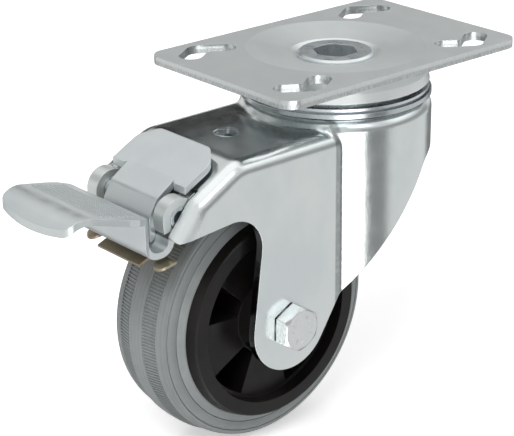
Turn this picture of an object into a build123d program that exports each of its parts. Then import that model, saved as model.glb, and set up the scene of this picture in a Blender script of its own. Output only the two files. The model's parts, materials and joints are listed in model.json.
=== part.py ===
"""Swivel castor with a plate mount and a foot brake on the nose of its fork.

The origin is on the swivel axis, level with the mounting face of the plate. +Z is up, the plate's
long side and the wheel's rolling direction lie along X, the axle along Y, and the nose of the fork,
with its brake, points to -X.
"""

import os
from math import asin, atan2, cos, degrees, hypot, radians, sin, sqrt, tan

from build123d import *

# ---- top plate -------------------------------------------------------------------------------
PLATE_LENGTH = 145.0
PLATE_WIDTH = 98.0
PLATE_THICK = 4.0
PLATE_CORNER = 8.0
DISH_RADIUS = 42.0          # where the dish round the kingpin begins
DISH_FLOOR_RADIUS = 21.5    # where it ends, at the edge of the kingpin's seat
DISH_DEPTH = 2.8
SEAT_DEPTH = 1.4            # step from the dish down to the seat of the kingpin's head
SLOT_WIDTH = 11.0
SLOT_APEX = (50.0, 39.0)    # outermost bolt position of a boomerang slot
SLOT_REACH = 10.0           # from the apex to either end, along X
SLOT_RISE = 6.5             # and along Y

# ---- swivel bearing --------------------------------------------------------------------------
KINGPIN_RADIUS = 12.5
KINGPIN_HEAD_RADIUS = 18.0
KINGPIN_HEAD_THICK = 2.0
KINGPIN_FOOT_RADIUS = 17.0
KINGPIN_FOOT_THICK = 3.0
KINGPIN_SOCKET = 10.8       # radius of the rounded hexagon through the kingpin
RUNNING_FIT = 0.08          # radial clearance of a shaft that turns in its hole
PRESS_GAP = 0.02            # radial clearance between parts that are pressed together
UPPER_BALL = 4.0            # radius of the large balls
UPPER_BALL_PITCH = 34.0
UPPER_BALLS = 24
LOWER_BALL = 3.0            # radius of the small balls
LOWER_BALL_PITCH = 21.0
LOWER_BALLS = 20
GROOVE_SLACK = 0.12         # how much larger a raceway groove is than its ball
RACE_RIM_RADIUS = 45.0
RACE_RIM_THICK = 2.2
SKIRT_RADIUS = 44.0
SEAL_RADIUS = 44.0

# ---- fork ------------------------------------------------------------------------------------
SHEET = 4.0
CROWN_TOP = -22.0
CROWN_DROP = 5.0            # step from the crown down to the nose
DRUM_RADIUS = 45.2
DRUM_EDGE = 6.0             # rounding of the crown into the drum
LEG_HALF = 35.0             # outer face of a leg, from the middle
RIDGE_RADIUS = 7.0          # bend of the nose into the side panels
CREASE_RADIUS = 4.0         # hollow bend where the nose and its side panels meet the drum
NOSE_BEND_X = -88.0
NOSE_BEND_RADIUS = 16.0
NOSE_SLOPE = 29.0
NOSE_TIP = (-123.5, -54.6)
SHOULDER_X = -111.0         # where the nose bends down once more, into its chin
TIP_ROUND = 2.0             # rounded lower corner of the chin, in side view
BOSS_RADIUS = 21.8
OPENING_RADIUS = 16.0       # corner between the nose and the front edge of a leg
REAR_CUT_ANGLE = 49.5
EYE_INNER = 20.3            # the two straps bent over the hinge pin, from the middle
EYE_OUTER = 27.3
EYE_END = 187.0             # direction from the pin where a strap leaves it and runs straight down
EYE_TAIL = 4.4              # length of that straight end
NOTCH_HALF = 27.9

# ---- wheel -----------------------------------------------------------------------------------
AXLE_X = -59.2
WHEEL_RADIUS = 62.5
TYRE_TOP = -49.5            # height of the tread under the nose
TYRE_HALF = 17.5
RIM_HALF = 19.8
RIM_SEAT_RADIUS = 46.0
RIM_EDGE_RADIUS = 49.1
FLANGE_HALF = 25.4
FLANGE_RADIUS = 47.6
RECESS_RADIUS = 41.1
RECESS_FLOOR = 19.5         # face of the spokes, from the middle
WEB_HALF = 2.0              # half thickness of the middle web
HUB_RADIUS = 17.5
HUB_HALF = 28.5
POCKETS = 5
POCKET_SPAN = 31.0          # degrees
POCKET_START = 141.0

# ---- axle ------------------------------------------------------------------------------------
AXLE_RADIUS = 6.0
BOLT_FLATS = 19.0
BOLT_HEAD = 7.5
BOLT_SEAT = 0.6             # round washer face under the head
HEX_TURN = 28.0
NUT_HEIGHT = 10.4
WASHER_RADIUS = 12.0
WASHER_THICK = 2.0
TUBE_WALL = 1.9
ROLLER_RADIUS = 2.0
ROLLERS = 12
CAGE_GAP = 0.35             # between the cage and what turns against it
CAGE_BAR = 1.1              # how far the cage's bars reach beyond the middle of the rollers
COLLAR_LENGTH = 2.6

# ---- brake -----------------------------------------------------------------------------------
BRAKE_SHEET = 3.0
PIN_X = -115.6
PIN_Z = -46.7
PIN_RADIUS = 4.8
PIN_HALF = 27.5
PIN_NECK = 1.6              # how much thinner the pin is between the eyes
FLAP_HALF = 25.6
FLAP_BACK_HALF = 17.4
FLAP_BACK_X = -90.0
FLAP_FRONT_X = -111.0
FLAP_CORNER = 6.0           # rounding of the flap's outline
FLAP_FOLD = (-109.0, -33.6)  # where the tongue bends down from the flap, on the upper face
FLAP_SLOPE = 27.4
TONGUE_HALF = 16.4
TONGUE_FOLD_X = -119.2
TONGUE_SLOPE = 60.0         # of the flat that lies on the pin's neck
FOOT_ROUND = 2.9            # rounding of the tongue's foot, which nests in the hook
HOOK_RADIUS = 6.8           # middle of the sheet round the hook
HOOK_HALF = 25.7
HOOK_FLOOR = -60.5          # inside of the hook's bottom
HOOK_CORNER = 4.1           # inner bend between the bottom and the wall of the hook
TREAD_X = -138.4
TREAD_Z = -40.8
TREAD_RISE = 14.2
TREAD_FRONT_X = -165.4
TREAD_HALF = 29.8
LIP_FALL = 34.0
LIP_REACH = 9.0
LIP_BULGE = 3.1
LIP_HALF = 24.5
SPRING_SHEET = 1.2
SPRING_HALF = 15.0
FINGER_HALF = 28.2
SPRING_HEEL_Z = -64.0
FINGER_TIP_X = -129.0
RIVET_X = -66.0
RIVET_SHANK = 4.0

# ---- sizes that follow from the ones above -----------------------------------------------------
AXLE_Z = TYRE_TOP - WHEEL_RADIUS
SEAT = -DISH_DEPTH - SEAT_DEPTH
PLATE_UNDERSIDE = SEAT - PLATE_THICK + 0.8
RIM_TOP = CROWN_TOP + 1.0 + RACE_RIM_THICK
UPPER_BALL_Z = PLATE_UNDERSIDE - 1.2 - UPPER_BALL
SKIRT_FOOT = CROWN_TOP + 7.6
SEAL_BORE = UPPER_BALL_PITCH + 6.0
LOWER_BALL_Z = CROWN_TOP - SHEET - 2.4
CUP_FOOT = LOWER_BALL_Z - LOWER_BALL - 3.0
TUBE_RADIUS = AXLE_RADIUS + PRESS_GAP + TUBE_WALL
CAGE_RADIUS = TUBE_RADIUS + RUNNING_FIT + 2 * ROLLER_RADIUS + PRESS_GAP


def outline(*points):
    """A face on the XZ plane with straight sides."""
    return Plane.XZ * make_face(Polyline(*points, close=True))


def across(face, half):
    """The face on the XZ plane, thickened to both sides."""
    return extrude(face, amount=half, both=True)


def turned(*profile):
    """A body turned about the swivel axis from (radius, height) points."""
    return revolve(outline(*profile), Axis.Z)


def turned_on_axle(*profile):
    """A body turned about the axle from (distance along it, radius) points."""
    face = Plane.YZ * make_face(Polyline(*profile, close=True))
    return Pos(AXLE_X, 0, AXLE_Z) * revolve(face, Axis.Y)


def mirrored(profile):
    """A half profile of (distance, radius) points and its mirror image, as one closed outline."""
    return [*profile, *((-distance, radius) for distance, radius in reversed(profile) if distance)]


def y_cylinder(x, z, radius, y_from, y_to):
    """A cylinder parallel to the axle."""
    plane = Plane((x, y_from, z), x_dir=(1, 0, 0), z_dir=(0, 1, 0))
    return extrude(plane * Circle(radius), amount=y_to - y_from)


def z_cylinder(radius, z_from, z_to):
    """A cylinder on the swivel axis."""
    return Pos(0, 0, z_from) * extrude(Circle(radius), amount=z_to - z_from)


def bent_sheet(points, radii, thickness, side=Side.RIGHT):
    """Section of a bent strip of sheet: one face runs through the (x, z) points, with its bends."""
    path = Wire((Plane.XZ * FilletPolyline(*points, radius=radii)).edges())
    return make_face(offset(path, amount=thickness, side=side))


def tangent_point(x, z, radius, left):
    """Where a straight line from (x, z) touches a circle of the given radius about the axle."""
    away = atan2(z - AXLE_Z, x - AXLE_X)
    spread = radians(90) - asin(radius / hypot(x - AXLE_X, z - AXLE_Z))
    angle = away + spread if left else away - spread
    return AXLE_X + radius * cos(angle), AXLE_Z + radius * sin(angle)


def axle_side(distance):
    """A plane across the axle, whose normal points to +Y."""
    return Plane((AXLE_X, distance, AXLE_Z), x_dir=(1, 0, 0), z_dir=(0, 1, 0))


def export(name, shape):
    """Write one node."""
    shape.label = name
    export_step(shape, f"parts/{name}.step")


# ---- top plate and swivel bearing ------------------------------------------------------------
def boomerang_slot():
    """Outline of a slot bent at its apex, for three bolt positions."""
    length = hypot(SLOT_REACH, SLOT_RISE)
    tilt = degrees(atan2(SLOT_RISE, SLOT_REACH))
    x, y = SLOT_APEX
    inner = Pos(x - SLOT_REACH / 2, y - SLOT_RISE / 2) * SlotCenterToCenter(length, SLOT_WIDTH, tilt)
    outer = Pos(x + SLOT_REACH / 2, y - SLOT_RISE / 2) * SlotCenterToCenter(length, SLOT_WIDTH, -tilt)
    slot = make_face((inner + outer).faces()[0].outer_wire())
    hollow = slot.vertices().sort_by_distance((x, y - SLOT_WIDTH))[0]
    return fillet(hollow, 3.0)


def top_plate():
    """The mounting plate, dished round the kingpin."""
    plate = extrude(RectangleRounded(PLATE_LENGTH, PLATE_WIDTH, PLATE_CORNER), amount=-PLATE_THICK)
    slot = extrude(boomerang_slot(), amount=-PLATE_THICK)
    for flip_x in (0, 180):
        plate -= Rot(0, 0, flip_x) * slot
        plate -= Rot(0, 0, flip_x) * mirror(slot, Plane.XZ)
    bulge = turned(
        (0, -PLATE_THICK / 2),
        (DISH_RADIUS, -PLATE_THICK / 2),
        (DISH_RADIUS, -PLATE_THICK),
        (DISH_FLOOR_RADIUS, PLATE_UNDERSIDE),
        (0, PLATE_UNDERSIDE),
    )
    dish = turned(
        (0, 1),
        (DISH_RADIUS, 1),
        (DISH_RADIUS, 0),
        (DISH_FLOOR_RADIUS, -DISH_DEPTH),
        (KINGPIN_HEAD_RADIUS + 1, SEAT),
        (0, SEAT),
    )
    return plate + bulge - dish - z_cylinder(KINGPIN_RADIUS + PRESS_GAP, PLATE_UNDERSIDE, SEAT)


def kingpin():
    """The hollow rivet that holds plate, races and fork together."""
    foot_top = CUP_FOOT
    foot = foot_top - KINGPIN_FOOT_THICK
    head_top = SEAT + KINGPIN_HEAD_THICK
    body = turned(
        (0, head_top),
        (KINGPIN_HEAD_RADIUS - 1.2, head_top),
        (KINGPIN_HEAD_RADIUS, head_top - 0.9),
        (KINGPIN_HEAD_RADIUS, SEAT),
        (KINGPIN_RADIUS, SEAT),
        (KINGPIN_RADIUS, foot_top),
        (KINGPIN_FOOT_RADIUS, foot_top),
        (KINGPIN_FOOT_RADIUS - 0.8, foot),
        (0, foot),
    )
    socket = RegularPolygon(KINGPIN_SOCKET * 1.04, 6)
    socket = fillet(socket.vertices(), KINGPIN_SOCKET * 0.45)
    body -= Pos(0, 0, foot) * extrude(socket, amount=head_top - foot)
    return body


def ball_groove(pitch, radius, height):
    """The ring a row of balls runs in, to cut from a race."""
    section = Plane.XZ * (Pos(pitch, height) * Circle(radius + GROOVE_SLACK))
    return revolve(section, Axis.Z)


def ball_row(count, pitch, radius, height):
    """A full row of loose balls."""
    return Compound([loc * Sphere(radius).solid() for loc in Pos(0, 0, height) * PolarLocations(pitch, count)])


def upper_race():
    """Pressed cup under the plate, with the track of the large balls and a skirt over the seal."""
    cone = (PLATE_UNDERSIDE + PLATE_THICK) / (DISH_RADIUS - DISH_FLOOR_RADIUS)
    brim = DISH_RADIUS - 3.6
    brim_top = PLATE_UNDERSIDE - cone * (brim - DISH_FLOOR_RADIUS)
    cup = turned(
        (KINGPIN_RADIUS + PRESS_GAP, PLATE_UNDERSIDE),
        (DISH_FLOOR_RADIUS, PLATE_UNDERSIDE),
        (brim, brim_top),
        (SKIRT_RADIUS - 0.8, brim_top - 5.5),
        (SKIRT_RADIUS, SKIRT_FOOT),
        (SKIRT_RADIUS - 2.4, SKIRT_FOOT),
        (SKIRT_RADIUS - 3.6, brim_top - 6.5),
        (UPPER_BALL_PITCH + 5.0, UPPER_BALL_Z + 1.3),
        (UPPER_BALL_PITCH - 5.0, UPPER_BALL_Z + 1.3),
        (UPPER_BALL_PITCH - 7.5, PLATE_UNDERSIDE - 2.4),
        (KINGPIN_RADIUS + PRESS_GAP, PLATE_UNDERSIDE - 2.4),
    )
    return cup - ball_groove(UPPER_BALL_PITCH, UPPER_BALL, UPPER_BALL_Z)


def lower_race():
    """Ring on the crown of the fork: the other track of the large balls."""
    shoulder = UPPER_BALL_Z - 2.0
    ring = turned(
        (UPPER_BALL_PITCH - 6.0, CROWN_TOP),
        (RACE_RIM_RADIUS - 3.5, CROWN_TOP),
        (RACE_RIM_RADIUS - 2.5, CROWN_TOP + 1.0),
        (RACE_RIM_RADIUS, CROWN_TOP + 1.0),
        (RACE_RIM_RADIUS, RIM_TOP),
        (SEAL_BORE, RIM_TOP),
        (SEAL_BORE, shoulder),
        (UPPER_BALL_PITCH - 6.0, shoulder),
    )
    return ring - ball_groove(UPPER_BALL_PITCH, UPPER_BALL, UPPER_BALL_Z)


def dust_seal():
    """Plastic ring that closes the gap between the skirt and the lower race."""
    return turned(
        (SEAL_BORE + PRESS_GAP, RIM_TOP),
        (SEAL_RADIUS - 1.2, RIM_TOP),
        (SEAL_RADIUS - 1.2, RIM_TOP + 0.7),
        (SEAL_RADIUS, RIM_TOP + 0.9),
        (SEAL_RADIUS, RIM_TOP + 2.2),
        (SEAL_BORE + PRESS_GAP, RIM_TOP + 2.6),
    )


def lower_cup():
    """Cup under the crown, held by the foot of the kingpin, for the row of small balls."""
    rim = LOWER_BALL_PITCH + 7.0
    cup = turned(
        (KINGPIN_RADIUS + PRESS_GAP, CUP_FOOT),
        (rim - 2.0, CUP_FOOT),
        (rim, CUP_FOOT + 2.0),
        (rim, CROWN_TOP - SHEET - 1.0),
        (rim - 2.4, CROWN_TOP - SHEET - 1.0),
        (rim - 2.4, LOWER_BALL_Z - 2.2),
        (KINGPIN_RADIUS + PRESS_GAP, LOWER_BALL_Z - 2.2),
    )
    return cup - ball_groove(LOWER_BALL_PITCH, LOWER_BALL, LOWER_BALL_Z)


# ---- fork ------------------------------------------------------------------------------------
def nose_line(inset):
    """Top line of the nose in side view, from the middle of the crown to the tip, and its bends."""
    slope = tan(radians(NOSE_SLOPE))
    top = CROWN_TOP - CROWN_DROP
    points = [
        (0, top - inset),
        (NOSE_BEND_X + inset * tan(radians(NOSE_SLOPE / 2)), top - inset),
        (SHOULDER_X + 0.8 * inset, top - slope * (NOSE_BEND_X - SHOULDER_X) - inset * 0.8),
        (NOSE_TIP[0] + inset * 0.9, NOSE_TIP[1] - inset * 0.4),
    ]
    return points, [NOSE_BEND_RADIUS - inset, 10.0 - inset]


def nose_block(half, inset, ridge):
    """The nose and legs as a solid block under the nose line, its long upper edges rounded."""
    points, radii = nose_line(inset)
    bottom = AXLE_Z - 3 * BOSS_RADIUS
    path = FilletPolyline(*points, radius=radii)
    closing = Polyline(points[-1], (points[-1][0], bottom), (points[0][0], bottom), points[0])
    block = across(Plane.XZ * make_face(path.edges() + closing.edges()), half)
    top_edges = [
        edge for edge in block.edges()
        if abs(abs(edge.center().Y) - half) < 0.01 and edge.center().Z > points[-1][1]
        and edge.center().X < points[0][0] - 1
    ]
    return fillet(top_edges, ridge)


def drum(radius, top, edge):
    """The round rear of the fork as a solid, rounded into the crown."""
    body = z_cylinder(radius, AXLE_Z, top)
    return fillet(body.edges().sort_by(Axis.Z)[-1], edge)


def side_cut():
    """Side view of the fork below its top line: everything inside it stays."""
    nose_foot = (NOSE_TIP[0] - 1.6, NOSE_TIP[1] - 1.4)
    chin = atan2(nose_line(0)[0][2][1] - NOSE_TIP[1], SHOULDER_X - NOSE_TIP[0])
    corner = (AXLE_X - 14.2, NOSE_TIP[1] + 3.0)
    front = tangent_point(*corner, BOSS_RADIUS, left=True)
    cut_x = -28.7
    cut_z = -105.0
    rear = tangent_point(cut_x, cut_z, BOSS_RADIUS, left=False)
    slope = tan(radians(REAR_CUT_ANGLE))
    knee = (19.0, cut_z + slope * (19.0 - cut_x))
    hem = (DRUM_RADIUS + 2, knee[1] + 7.0)
    upper = [(hem[0], 0), (nose_foot[0] - nose_foot[1] / tan(chin), 0)]
    side = make_face(Polyline(*upper, nose_foot, corner, front, (AXLE_X, AXLE_Z), rear,
                              (cut_x, cut_z), knee, hem, close=True))
    inner_corner = side.vertices().sort_by_distance((*corner, 0))[0]
    side = fillet(inner_corner, OPENING_RADIUS)
    side = fillet(side.vertices().sort_by_distance((*knee, 0))[0], 15.0)
    side = fillet(side.vertices().sort_by_distance((*nose_foot, 0))[0], TIP_ROUND)
    side += Pos(AXLE_X, AXLE_Z) * Circle(BOSS_RADIUS)
    return across(Plane.XZ * side, 2 * DRUM_RADIUS)


def pin_strap(y_from, y_to):
    """A strap bent from the nose over the hinge pin, its end straight down in front of the pin."""
    bore = PIN_RADIUS + RUNNING_FIT
    width = y_to - y_from
    middle = (y_from + y_to) / 2
    slope = radians(NOSE_SLOPE)
    nose_top = CROWN_TOP - CROWN_DROP
    lap = (nose_top - PIN_Z) * cos(slope) - (NOSE_BEND_X - PIN_X) * sin(slope)
    ring = y_cylinder(PIN_X, PIN_Z, bore + SHEET, y_from, y_to)
    ring -= y_cylinder(PIN_X, PIN_Z, bore, y_from, y_to)
    reach = 3 * SHEET
    gap = outline(
        (PIN_X, PIN_Z),
        (PIN_X + reach * cos(radians(EYE_END)), PIN_Z + reach * sin(radians(EYE_END))),
        (PIN_X - reach, PIN_Z - reach),
        (PIN_X + reach, PIN_Z - reach),
        (PIN_X + reach * cos(slope), PIN_Z + reach * sin(slope)),
    )
    ring -= Pos(0, middle, 0) * across(gap, width)
    tail = Pos(bore + SHEET / 2, 0, -EYE_TAIL / 2) * Box(SHEET, width, EYE_TAIL)
    tail = Rot(0, 180 - EYE_END, 0) * mirror(tail, Plane.YZ)
    ring += Pos(PIN_X, middle, PIN_Z) * tail
    arm = Pos((bore + SHEET / 2 + reach) / 2, 0, lap - SHEET / 2) * Box(reach - bore - SHEET / 2, width, SHEET)
    return ring + Pos(PIN_X, middle, PIN_Z) * Rot(0, -NOSE_SLOPE, 0) * arm


def block_and_drum(inset):
    """The nose block joined to the drum by a hollow bend, as a solid inset from the fork's skin."""
    half = LEG_HALF - inset
    radius = DRUM_RADIUS - inset
    body = nose_block(half, inset, RIDGE_RADIUS - inset) + drum(radius, CROWN_TOP - inset, DRUM_EDGE - inset)
    crease_x = -sqrt(radius**2 - half**2)
    edges = [
        edge for edge in body.edges()
        if abs(edge.center().X - crease_x) < 0.05 and abs(abs(edge.center().Y) - half) < 0.05
    ]
    return fillet(edges, CREASE_RADIUS)


def fork():
    """The fork: one sheet, drawn into a crown, a round back, two legs and a nose."""
    shell = (block_and_drum(0) & side_cut()) - block_and_drum(SHEET)
    notch_back = PIN_X + 10.0
    notch_front = NOSE_TIP[0] - 5.0
    notch = Pos((notch_back + notch_front) / 2, 0) * Rectangle(notch_back - notch_front, 2 * NOTCH_HALF)
    notch += Pos(notch_back, 0) * Rectangle(4, 2 * EYE_INNER)
    shell -= Pos(0, 0, PIN_Z) * extrude(notch, amount=30, both=True)
    for side in (-1, 1):
        y_from, y_to = sorted((side * EYE_INNER, side * EYE_OUTER))
        shell += pin_strap(y_from, y_to)
    shell -= z_cylinder(KINGPIN_RADIUS + RUNNING_FIT, CROWN_TOP - SHEET, CROWN_TOP)
    shell -= ball_groove(LOWER_BALL_PITCH, LOWER_BALL, LOWER_BALL_Z)
    shell -= y_cylinder(AXLE_X, AXLE_Z, AXLE_RADIUS + PRESS_GAP, -LEG_HALF, LEG_HALF)
    nose_top = CROWN_TOP - CROWN_DROP
    shell -= Pos(RIVET_X, 0, 0) * z_cylinder(RIVET_SHANK + PRESS_GAP, nose_top - SHEET, nose_top)
    return shell


# ---- wheel -----------------------------------------------------------------------------------
def tyre():
    """Solid rubber tyre, crowned, with stepped sides."""
    half = [
        (0.0, WHEEL_RADIUS),
        (4.6, WHEEL_RADIUS - 0.25),
        (12.8, WHEEL_RADIUS - 1.7),
        (TYRE_HALF, WHEEL_RADIUS - 2.6),
        (TYRE_HALF - 0.1, WHEEL_RADIUS - 4.4),
        (TYRE_HALF - 0.9, WHEEL_RADIUS - 4.7),
        (TYRE_HALF - 0.1, WHEEL_RADIUS - 5.0),
        (TYRE_HALF + 0.7, WHEEL_RADIUS - 9.1),
        (TYRE_HALF - 0.1, WHEEL_RADIUS - 9.4),
        (TYRE_HALF + 0.8, WHEEL_RADIUS - 9.7),
        (RIM_HALF, RIM_EDGE_RADIUS),
        (RIM_HALF, RIM_SEAT_RADIUS),
    ]
    return turned_on_axle(*mirrored(half))


def pocket(side):
    """One of the hollows between the spokes."""
    start = radians(POCKET_START)
    span = radians(POCKET_SPAN)
    inner = HUB_RADIUS + 1.5
    outer = RECESS_RADIUS - 2.0
    corners = [
        (inner * cos(start + 0.15 * span), inner * sin(start + 0.15 * span)),
        (outer * cos(start), outer * sin(start)),
        (outer * cos(start + span), outer * sin(start + span)),
        (inner * cos(start + 0.85 * span), inner * sin(start + 0.85 * span)),
    ]
    face = make_face(
        Polyline(corners[1], corners[0], corners[3], corners[2])
        + ThreePointArc(
            corners[2],
            (outer * cos(start + span / 2), outer * sin(start + span / 2)),
            corners[1],
        )
    )
    depth = RECESS_FLOOR - WEB_HALF
    if side < 0:
        return extrude(axle_side(-RECESS_FLOOR) * mirror(face, Plane.XZ), amount=depth)
    return extrude(axle_side(WEB_HALF) * mirror(face, Plane.XZ), amount=depth)


def wheel_rim():
    """Plastic rim with a dished rim flange, five spokes a side and the hub."""
    half = [
        (0.0, RIM_SEAT_RADIUS),
        (RIM_HALF, RIM_SEAT_RADIUS),
        (RIM_HALF, RIM_EDGE_RADIUS),
        (FLANGE_HALF - 0.8, FLANGE_RADIUS + 0.3),
        (FLANGE_HALF, FLANGE_RADIUS - 0.5),
        (FLANGE_HALF, RECESS_RADIUS),
        (RECESS_FLOOR, RECESS_RADIUS - 0.6),
        (RECESS_FLOOR, HUB_RADIUS + 0.8),
        (HUB_HALF - 0.8, HUB_RADIUS),
        (HUB_HALF, HUB_RADIUS - 0.8),
        (HUB_HALF, CAGE_RADIUS + PRESS_GAP),
        (0.0, CAGE_RADIUS + PRESS_GAP),
    ]
    rim = turned_on_axle(*mirrored(half))
    for side in (-1, 1):
        cut = pocket(side)
        for index in range(POCKETS):
            turn = Pos(AXLE_X, 0, AXLE_Z) * Rot(0, 360 / POCKETS * index, 0) * Pos(-AXLE_X, 0, -AXLE_Z)
            rim -= turn * cut
    return rim


def roller_cage():
    """Plastic cage: a collar at each end pressed into the hub, and thin bars between the rollers."""
    half = HUB_HALF - 0.6
    middle = TUBE_RADIUS + RUNNING_FIT + ROLLER_RADIUS
    cage = y_cylinder(AXLE_X, AXLE_Z, middle + CAGE_BAR, -half, half)
    for start in (-half, half - COLLAR_LENGTH):
        cage += y_cylinder(AXLE_X, AXLE_Z, CAGE_RADIUS, start, start + COLLAR_LENGTH)
    cage -= y_cylinder(AXLE_X, AXLE_Z, TUBE_RADIUS + CAGE_GAP, -half, half)
    slot_half = half - COLLAR_LENGTH - 0.4
    for index in range(ROLLERS):
        angle = 2 * index * radians(180) / ROLLERS
        x = AXLE_X + middle * cos(angle)
        z = AXLE_Z + middle * sin(angle)
        cage -= y_cylinder(x, z, ROLLER_RADIUS + PRESS_GAP, -slot_half, slot_half)
    return cage


def rollers():
    """The rollers between the hub and the axle tube."""
    half = HUB_HALF - 3.8
    middle = TUBE_RADIUS + RUNNING_FIT + ROLLER_RADIUS
    row = []
    for index in range(ROLLERS):
        angle = 2 * index * radians(180) / ROLLERS
        x = AXLE_X + middle * cos(angle)
        z = AXLE_Z + middle * sin(angle)
        row.append(y_cylinder(x, z, ROLLER_RADIUS, -half, half).solid())
    return Compound(row)


def axle_tube():
    """Steel tube between the legs, clamped by the bolt; the rollers run on it."""
    half = LEG_HALF - SHEET
    tube = y_cylinder(AXLE_X, AXLE_Z, TUBE_RADIUS, -half, half)
    return tube - y_cylinder(AXLE_X, AXLE_Z, AXLE_RADIUS + PRESS_GAP, -half, half)


def hexagon(height, chamfer_ends):
    """A hexagon prism with its corners turned off at the given ends."""
    across_corners = BOLT_FLATS / cos(radians(30))
    prism = extrude(RegularPolygon(BOLT_FLATS / 2, 6, major_radius=False), amount=height)
    limit = Cylinder(across_corners / 2, height, align=(Align.CENTER, Align.CENTER, Align.MIN))
    for end in chamfer_ends:
        limit = chamfer(limit.edges().sort_by(Axis.Z)[end], 1.3, 2.0)
    return prism & limit


def axle_bolt():
    """Hexagon bolt through both legs."""
    head = Pos(0, 0, BOLT_SEAT) * Rot(0, 0, HEX_TURN) * hexagon(BOLT_HEAD - BOLT_SEAT, [-1])
    head += extrude(Circle(0.47 * BOLT_FLATS), amount=BOLT_SEAT)
    head = Plane((AXLE_X, -LEG_HALF, AXLE_Z), x_dir=(1, 0, 0), z_dir=(0, -1, 0)) * head
    end = LEG_HALF + WASHER_THICK + NUT_HEIGHT + 2.0
    shank = y_cylinder(AXLE_X, AXLE_Z, AXLE_RADIUS, -LEG_HALF, end)
    shank = chamfer(shank.edges().sort_by(Axis.Y)[-1], 0.8)
    return head + shank


def nut_washer():
    """Washer under the nut."""
    start = LEG_HALF
    washer = y_cylinder(AXLE_X, AXLE_Z, WASHER_RADIUS, start, start + WASHER_THICK)
    return washer - y_cylinder(AXLE_X, AXLE_Z, AXLE_RADIUS + PRESS_GAP, start, start + WASHER_THICK)


def axle_nut():
    """Lock nut on the far side."""
    start = LEG_HALF + WASHER_THICK
    nut = axle_side(start) * (Rot(0, 0, 12) * hexagon(NUT_HEIGHT, [0, -1]))
    return nut - y_cylinder(AXLE_X, AXLE_Z, AXLE_RADIUS + PRESS_GAP, start, start + NUT_HEIGHT)


# ---- brake -----------------------------------------------------------------------------------
def nose_rivet():
    """Rivet that holds the brake spring under the nose, its upper end flared in four petals."""
    top = CROWN_TOP - CROWN_DROP
    under = top - SHEET - SPRING_SHEET
    body = turned(
        (0, top + 0.9),
        (RIVET_SHANK + 0.6, top + 0.9),
        (RIVET_SHANK + 2.3, top + 0.1),
        (RIVET_SHANK + 2.3, top),
        (RIVET_SHANK, top),
        (RIVET_SHANK, under),
        (RIVET_SHANK + 2.5, under),
        (RIVET_SHANK + 1.8, under - 1.6),
        (0, under - 1.6),
    )
    for angle in (45, 135):
        cross = Rot(0, 0, angle) * Box(2 * RIVET_SHANK + 1.0, 1.6, 3.0)
        body -= Pos(0, 0, top + 0.9) * cross
    return Pos(RIVET_X, 0, 0) * body


def hinge_pin():
    """Pin under both straps, thinner between them and hollowed at its ends."""
    neck = TONGUE_HALF + 0.8
    pin = y_cylinder(PIN_X, PIN_Z, PIN_RADIUS - PIN_NECK, -neck, neck)
    for side in (-1, 1):
        y_from, y_to = sorted((side * PIN_HALF, side * neck))
        pin += y_cylinder(PIN_X, PIN_Z, PIN_RADIUS, y_from, y_to)
        y_from, y_to = sorted((side * PIN_HALF, side * (PIN_HALF - 3.0)))
        pin -= y_cylinder(PIN_X, PIN_Z, PIN_RADIUS - 1.6, y_from, y_to)
    return pin


def flap_point(x):
    """A point of the flap's upper face in side view."""
    return x, FLAP_FOLD[1] + tan(radians(FLAP_SLOPE)) * (x - FLAP_FOLD[0])


def tongue_point(x):
    """A point on the outer face of the flat that rests on the pin's neck, in side view."""
    reach = PIN_RADIUS - PIN_NECK + RUNNING_FIT + BRAKE_SHEET
    slope = radians(TONGUE_SLOPE)
    return x, PIN_Z + reach / cos(slope) + tan(slope) * (x - PIN_X)


def flap_outline():
    """The flap seen from above, with a slit beside the root of the tongue."""
    corner = FLAP_BACK_X - 6.4
    slit = FLAP_FRONT_X + 1.2
    plan = make_face(
        Polyline(
            (FLAP_BACK_X, -FLAP_BACK_HALF), (FLAP_BACK_X, FLAP_BACK_HALF), (corner, FLAP_HALF),
            (FLAP_FRONT_X, FLAP_HALF), (FLAP_FRONT_X, TONGUE_HALF + 1.6), (slit, TONGUE_HALF),
            (FLAP_FOLD[0] + 0.5, TONGUE_HALF), (FLAP_FOLD[0] + 0.5, -TONGUE_HALF),
            (slit, -TONGUE_HALF), (FLAP_FRONT_X, -TONGUE_HALF - 1.6),
            (FLAP_FRONT_X, -FLAP_HALF), (corner, -FLAP_HALF), close=True,
        )
    )
    return fillet([v for v in plan.vertices() if v.X > corner - 1], FLAP_CORNER)


def brake_lever():
    """Release flap on the nose and the tongue folded round the hinge pin, in one sheet."""
    root = flap_point(FLAP_FOLD[0] + 5)
    knee = tongue_point(PIN_X - PIN_RADIUS - RUNNING_FIT - BRAKE_SHEET)
    foot = (knee[0], HOOK_FLOOR + HOOK_CORNER - FOOT_ROUND)
    bend = BRAKE_SHEET + 0.6
    folds = [root, FLAP_FOLD, tongue_point(TONGUE_FOLD_X), knee, foot]
    section = bent_sheet(folds, [bend, bend, bend + 2.0], BRAKE_SHEET)
    tongue = across(section, TONGUE_HALF)
    toe = tongue.edges().filter_by(Axis.Y).sort_by_distance((foot[0] + BRAKE_SHEET, 0, foot[1]))[0]
    tongue = fillet(toe, FOOT_ROUND)
    ends = [flap_point(FLAP_FRONT_X - 2), flap_point(FLAP_BACK_X + 2)]
    drop = BRAKE_SHEET / cos(radians(FLAP_SLOPE))
    sheet = outline(*ends, *((x, z - drop) for x, z in reversed(ends)))
    flap = across(sheet, FLAP_HALF) & extrude(flap_outline(), amount=100, both=True)
    return flap + tongue


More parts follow.
